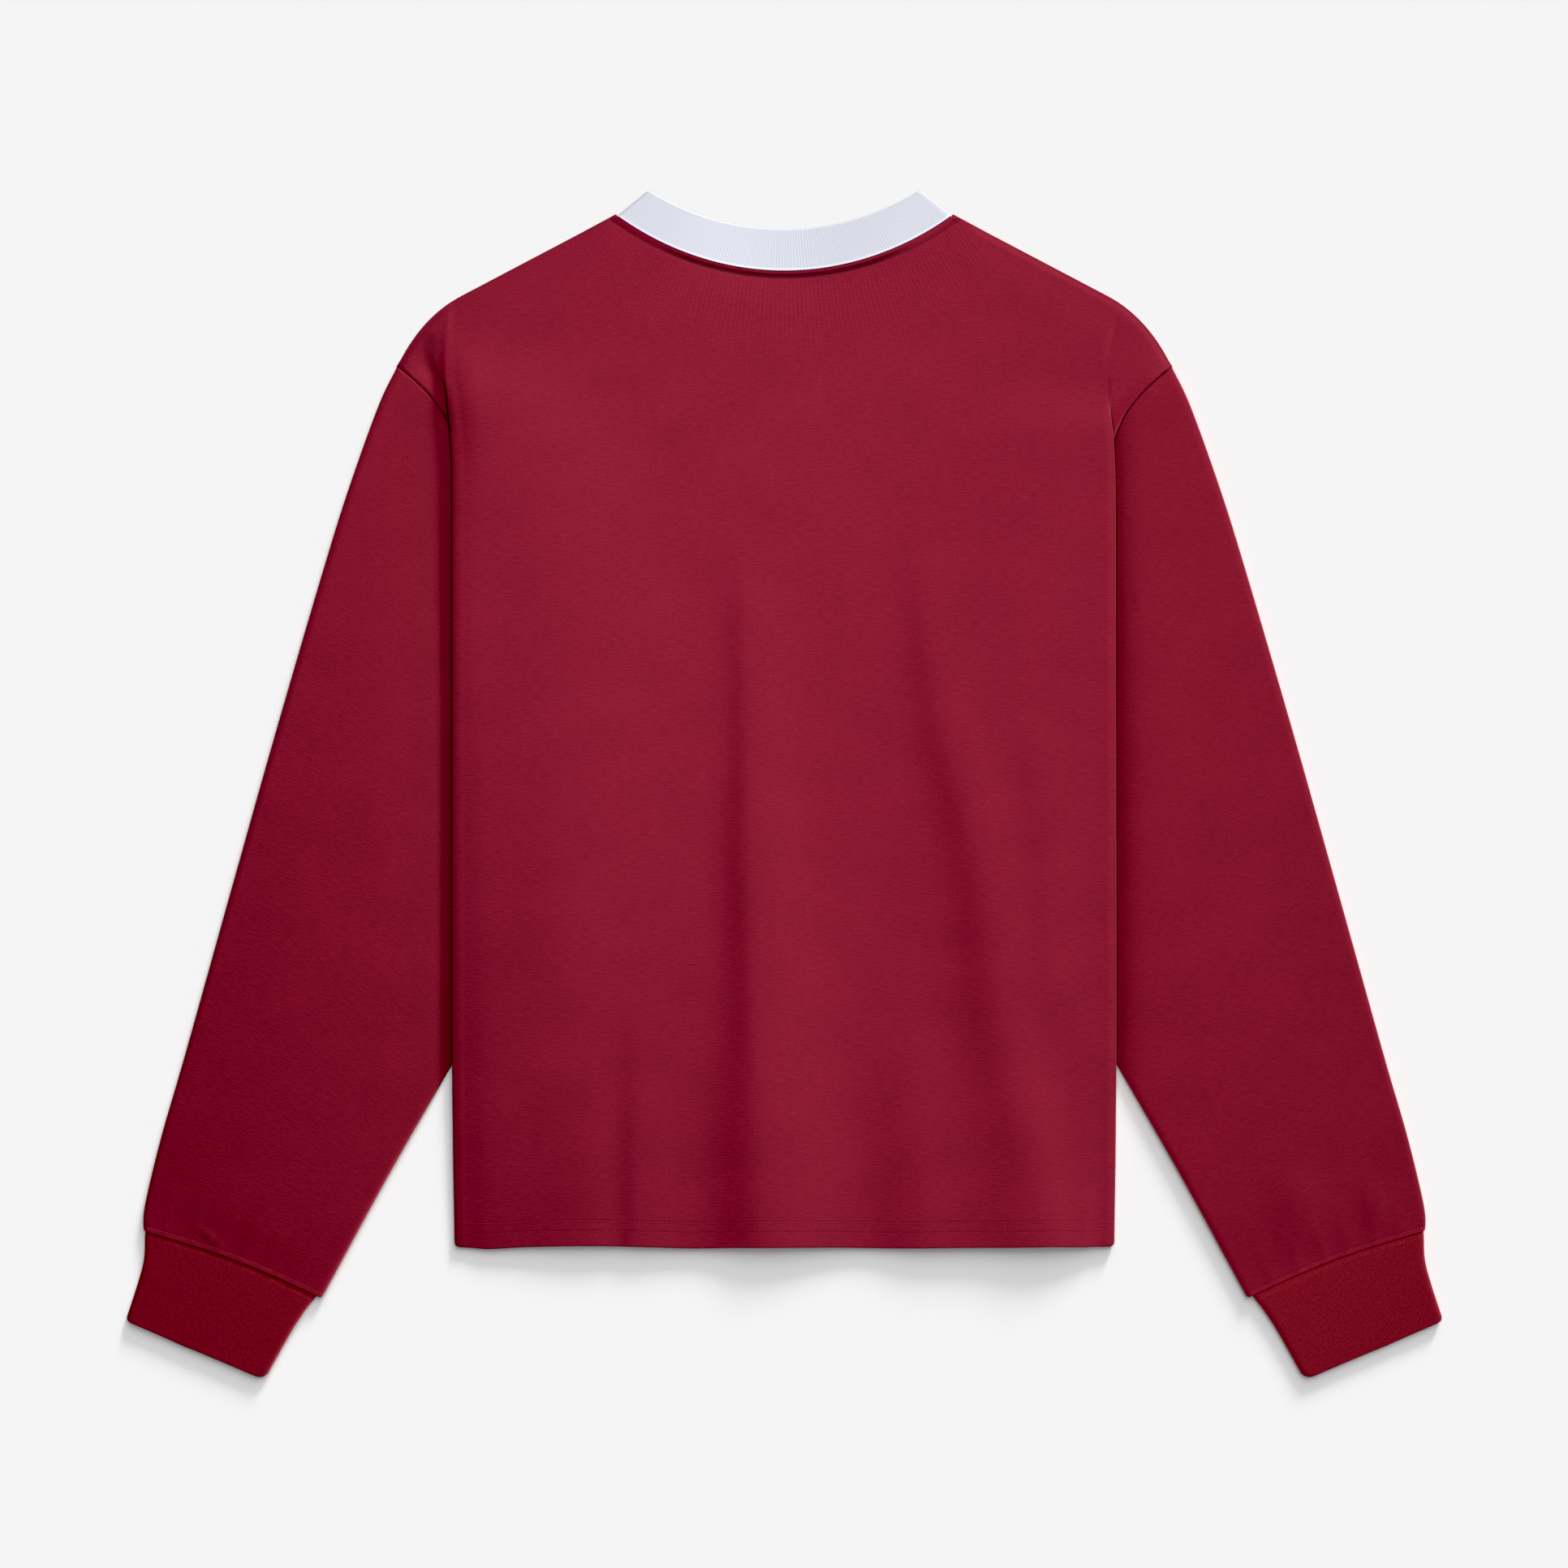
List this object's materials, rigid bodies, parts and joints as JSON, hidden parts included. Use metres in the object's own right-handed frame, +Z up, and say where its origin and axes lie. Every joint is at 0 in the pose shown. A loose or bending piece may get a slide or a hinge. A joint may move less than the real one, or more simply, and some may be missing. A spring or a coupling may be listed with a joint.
{
  "type": "long-sleeve t-shirt with contrast neck rib",
  "caption": "Long-sleeve ringer t-shirt laid flat with its back up: body folded under at the sides, ribbed cuffs, contrast ribbed neck band, turned-up hem.",
  "frame": {"origin": "middle of the laid-out garment's box, at the surface it lies on", "axes": "+X across the garment to the right as seen from above with the neck at the top, +Y from hem to neck, +Z up out of the surface"},
  "size_m": [0.8096, 0.7312, 0.0065],
  "materials": {
    "red_jersey": "soft matt single-knit cotton jersey, dark red",
    "red_rib": "matt 1x1 rib knit, dark red",
    "white_rib": "matt 1x1 rib knit, cool white"
  },
  "bodies": {
    "root": {"back_panel": "red_jersey", "front_panel": "red_jersey", "sleeve_left": "red_jersey", "sleeve_right": "red_jersey", "cuff_left": "red_rib", "cuff_right": "red_rib", "neck_rib": "white_rib"}
  },
  "joints": []
}
